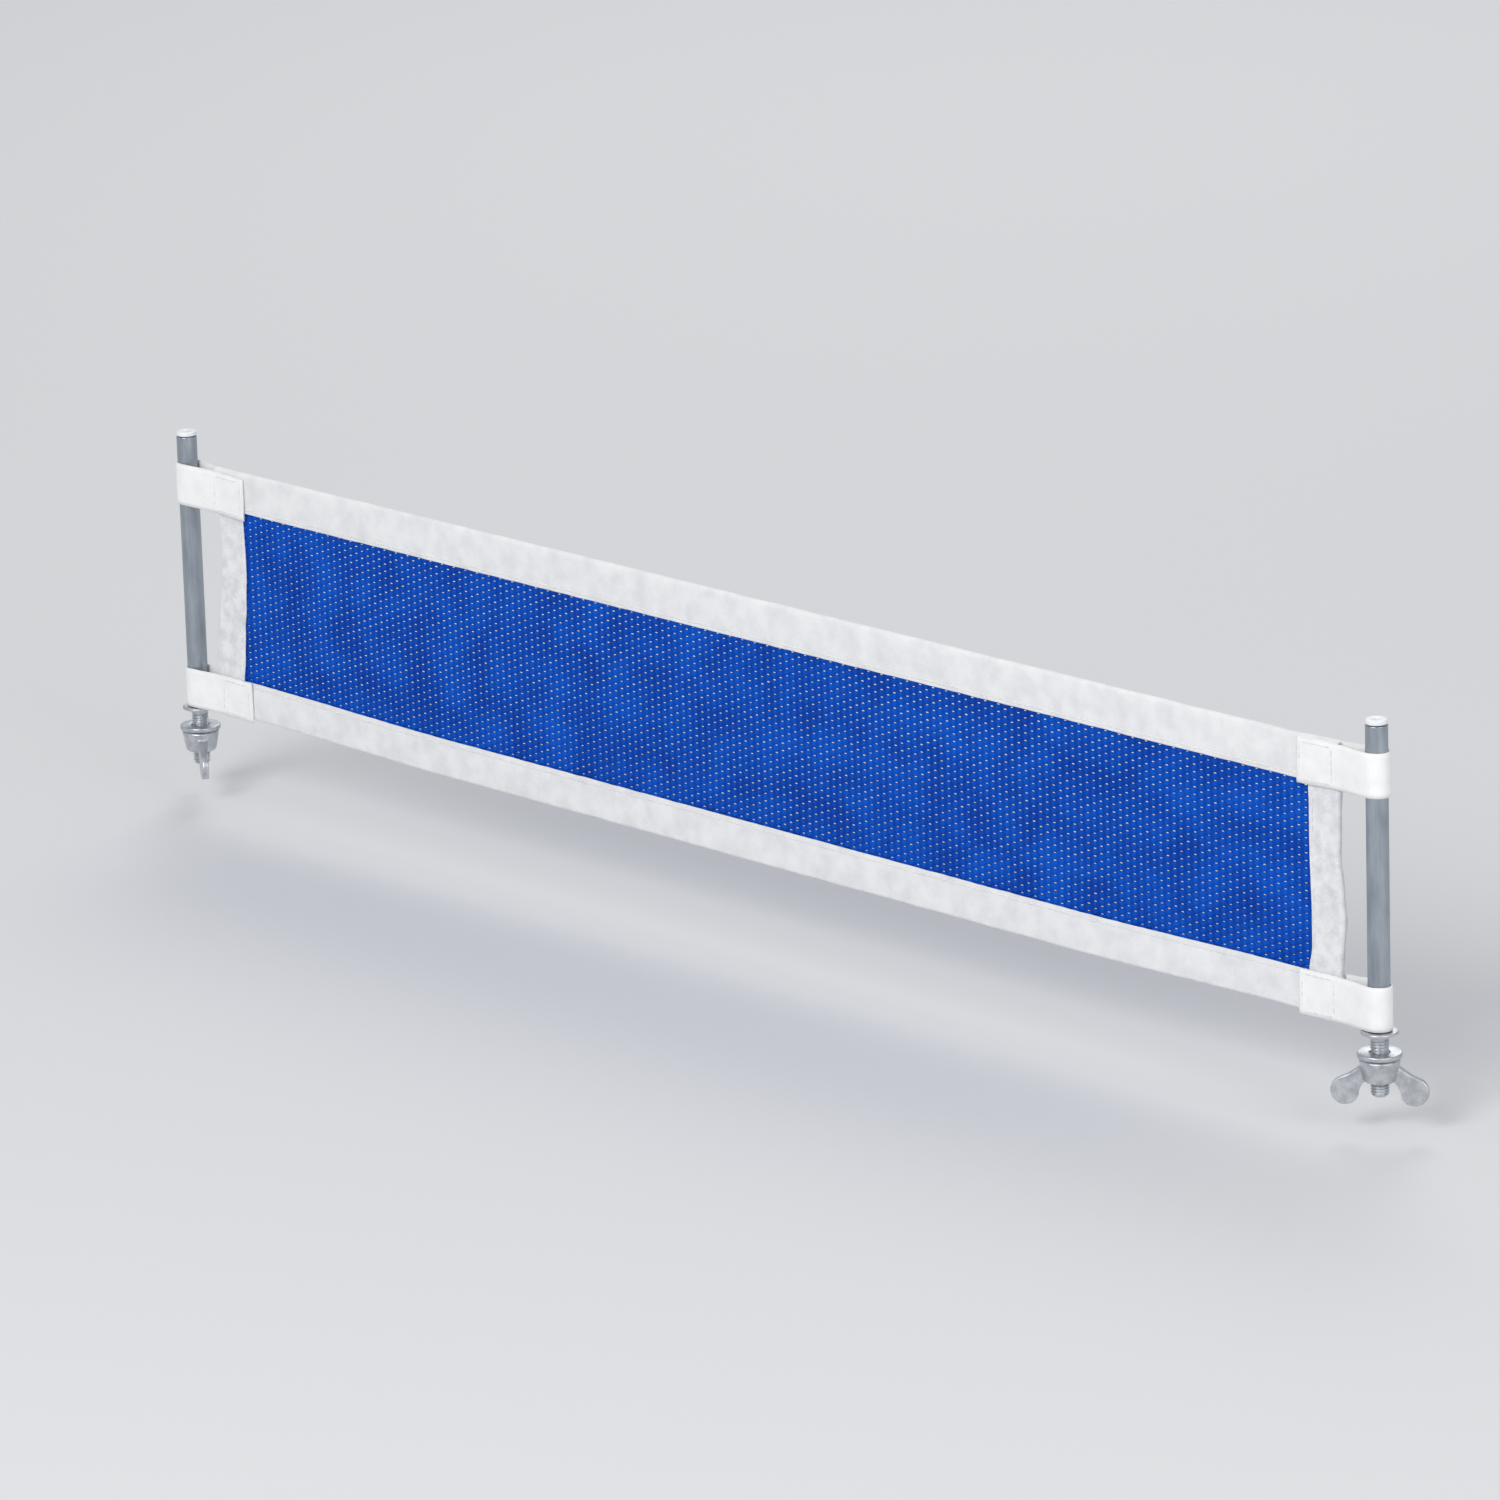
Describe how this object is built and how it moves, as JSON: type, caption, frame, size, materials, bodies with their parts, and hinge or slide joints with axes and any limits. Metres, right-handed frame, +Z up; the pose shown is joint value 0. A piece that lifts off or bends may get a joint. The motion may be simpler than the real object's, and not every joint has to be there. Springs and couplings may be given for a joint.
{
  "type": "table tennis net and post set",
  "caption": "Small table tennis net with white folded tapes, looped round two steel posts that clamp through a thin games board with washers and wing nuts.",
  "frame": {"origin": "on the board's upper surface, midway between the two posts", "axes": "+X along the net towards the right-hand post, +Y across the net away from the player in front, +Z up"},
  "size_m": [0.498, 0.016, 0.1045],
  "materials": {
    "blue_netting": "fine knitted netting, dark royal blue",
    "white_tape": "woven cotton tape, slightly greyed",
    "white_strap": "smooth close-woven strap",
    "satin_steel": "satin, drawn along its length",
    "white_nylon": "moulded, semi-matt",
    "zinc_steel": "zinc plated"
  },
  "bodies": {
    "posts": {"post_tube_right": "satin_steel", "post_cap_right": "white_nylon", "collar_stud_right": "zinc_steel", "post_tube_left": "satin_steel", "post_cap_left": "white_nylon", "collar_stud_left": "zinc_steel"},
    "net": {"net_mesh": "blue_netting", "top_tape": "white_tape", "bottom_tape": "white_tape", "side_tape_right": "white_tape", "side_tape_left": "white_tape", "top_loop_right": "white_strap", "top_loop_left": "white_strap", "bottom_loop_right": "white_strap", "bottom_loop_left": "white_strap"},
    "washer_right": {"clamp_washer_right": "zinc_steel"},
    "washer_left": {"clamp_washer_left": "zinc_steel"},
    "nut_right": {"wing_nut_right": "zinc_steel"},
    "nut_left": {"wing_nut_left": "zinc_steel"}
  },
  "joints": [
    {"name": "net_lift", "type": "slide", "parent": "posts", "child": "net", "axis": [0, 0, 1], "range_m": [0, 0.085]},
    {"name": "clamp_travel_right", "type": "slide", "parent": "posts", "child": "washer_right", "axis": [0, 0, -1], "range_m": [-0.0046, 0.008]},
    {"name": "nut_turn_right", "type": "hinge", "parent": "washer_right", "child": "nut_right", "pos_m": [0.238, 0, -0.0065], "axis": [0, 0, -1], "range_deg": [-2061, 3594]},
    {"name": "clamp_travel_left", "type": "slide", "parent": "posts", "child": "washer_left", "axis": [0, 0, -1], "range_m": [-0.0046, 0.008]},
    {"name": "nut_turn_left", "type": "hinge", "parent": "washer_left", "child": "nut_left", "pos_m": [-0.238, 0, -0.0065], "axis": [0, 0, -1], "range_deg": [-2061, 3594]}
  ],
  "couplings": [
    {"joint": "clamp_travel_right", "follows": "nut_turn_right", "m_per_rad": 0.00012732},
    {"joint": "clamp_travel_left", "follows": "nut_turn_left", "m_per_rad": 0.00012732}
  ]
}
